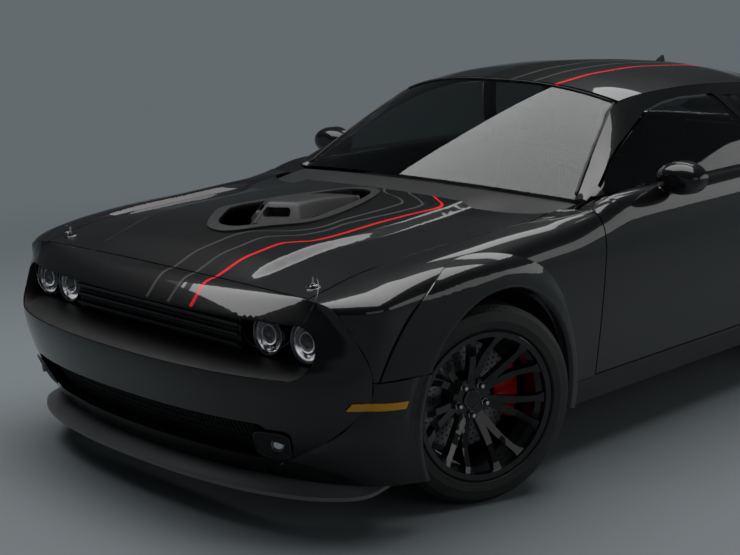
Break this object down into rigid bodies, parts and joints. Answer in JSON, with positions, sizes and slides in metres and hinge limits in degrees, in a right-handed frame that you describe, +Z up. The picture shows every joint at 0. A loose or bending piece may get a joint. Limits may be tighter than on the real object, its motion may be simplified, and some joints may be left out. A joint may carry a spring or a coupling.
{
  "type": "muscle car",
  "caption": "Two-door widebody muscle car, gloss black, with a shaker scoop, four round lamps, hinged doors, hood and trunk lid, rolling wheels and steering.",
  "frame": {"origin": "on the ground, under the middle of the car's box", "axes": "+Z up, the car faces -Y, +X is the car's left side"},
  "size_m": [2.182, 5.0012, 1.4547],
  "materials": {
    "gloss_black_paint": "gloss black paint",
    "satin_black": "satin black",
    "grille_black": "satin black mesh",
    "lamp_glass": "clear lens over chrome rings",
    "red_lens": "red lens",
    "amber_lens": "amber lens",
    "tinted_glass": "tinted glass",
    "black_wheel_paint": "gloss black",
    "tyre_rubber": "tyre rubber",
    "brake_steel": "turned steel",
    "caliper_red": "red caliper on a grey upright",
    "chassis_black": "satin underbody black",
    "engine_grey": "cast",
    "bright_steel": "polished",
    "cabin_black": "soft black trim",
    "seat_leather": "black leather"
  },
  "bodies": {
    "root": {"antenna": "gloss_black_paint", "arch_flares": "gloss_black_paint", "body_side_left": "gloss_black_paint", "body_side_right": "gloss_black_paint", "cowl": "satin_black", "dashboard": "cabin_black", "diffuser": "satin_black", "engine": "engine_grey", "exhaust": "bright_steel", "fender_left": "gloss_black_paint", "fender_right": "gloss_black_paint", "floor_pan": "chassis_black", "front_fascia": "gloss_black_paint", "front_lamps": "lamp_glass", "grilles": "grille_black", "hood_pins": "bright_steel", "quarter_glass": "tinted_glass", "rear_fascia": "gloss_black_paint", "rear_glass": "tinted_glass", "roof": "gloss_black_paint", "seats": "seat_leather", "shaker_scoop": "satin_black", "side_markers": "amber_lens", "side_skirts": "satin_black", "slot_surround": "satin_black", "splitter": "satin_black", "suspension": "chassis_black", "tail_lamps": "red_lens", "trunk_floor": "chassis_black", "windscreen": "tinted_glass"},
    "hood": {"hood": "gloss_black_paint", "hood_bezel": "satin_black"},
    "decklid": {"decklid": "gloss_black_paint", "spoiler": "satin_black"},
    "door_left": {"door_left": "gloss_black_paint", "door_glass_left": "tinted_glass", "mirror_left": "gloss_black_paint"},
    "door_right": {"door_right": "gloss_black_paint", "door_glass_right": "tinted_glass", "mirror_right": "gloss_black_paint"},
    "knuckle_left": {"knuckle_left": "caliper_red"},
    "knuckle_right": {"knuckle_right": "caliper_red"},
    "wheel_front_left": {"rim_front_left": "black_wheel_paint", "tyre_front_left": "tyre_rubber", "brake_disc_front_left": "brake_steel"},
    "wheel_front_right": {"rim_front_right": "black_wheel_paint", "tyre_front_right": "tyre_rubber", "brake_disc_front_right": "brake_steel"},
    "wheel_rear_left": {"rim_rear_left": "black_wheel_paint", "tyre_rear_left": "tyre_rubber", "brake_disc_rear_left": "brake_steel"},
    "wheel_rear_right": {"rim_rear_right": "black_wheel_paint", "tyre_rear_right": "tyre_rubber", "brake_disc_rear_right": "brake_steel"}
  },
  "joints": [
    {"name": "steer_left", "type": "hinge", "parent": "root", "child": "knuckle_left", "pos_m": [0.775, -1.56, 0.361], "axis": [0, 0, 1], "range_deg": [-14, 52]},
    {"name": "steer_right", "type": "hinge", "parent": "root", "child": "knuckle_right", "pos_m": [-0.775, -1.56, 0.361], "axis": [0, 0, 1], "range_deg": [-14, 52]},
    {"name": "front_left_wheel_spin", "type": "hinge", "parent": "knuckle_left", "child": "wheel_front_left", "pos_m": [0.84119, -1.58279, 0.361], "axis": [0.9455, -0.3256, 0], "continuous": true},
    {"name": "front_right_wheel_spin", "type": "hinge", "parent": "knuckle_right", "child": "wheel_front_right", "pos_m": [-0.84119, -1.53721, 0.361], "axis": [0.9455, -0.3256, 0], "continuous": true},
    {"name": "rear_left_wheel_spin", "type": "hinge", "parent": "root", "child": "wheel_rear_left", "pos_m": [0.845, 1.39, 0.361], "axis": [1, 0, 0], "continuous": true},
    {"name": "rear_right_wheel_spin", "type": "hinge", "parent": "root", "child": "wheel_rear_right", "pos_m": [-0.845, 1.39, 0.361], "axis": [1, 0, 0], "continuous": true},
    {"name": "door_left_hinge", "type": "hinge", "parent": "root", "child": "door_left", "pos_m": [0.96, -0.8885, 0.66], "axis": [0, 0, -1], "range_deg": [0, 65]},
    {"name": "door_right_hinge", "type": "hinge", "parent": "root", "child": "door_right", "pos_m": [-0.96, -0.8885, 0.66], "axis": [0, 0, 1], "range_deg": [0, 65]},
    {"name": "hood_hinge", "type": "hinge", "parent": "root", "child": "hood", "pos_m": [0, -1, 0.955], "axis": [-1, 0, 0], "range_deg": [0, 48]},
    {"name": "decklid_hinge", "type": "hinge", "parent": "root", "child": "decklid", "pos_m": [0, 1.585, 1.074], "axis": [1, 0, 0], "range_deg": [0, 75]}
  ],
  "couplings": [
    {"joint": "steer_right", "follows": "steer_left", "ratio": 1}
  ]
}
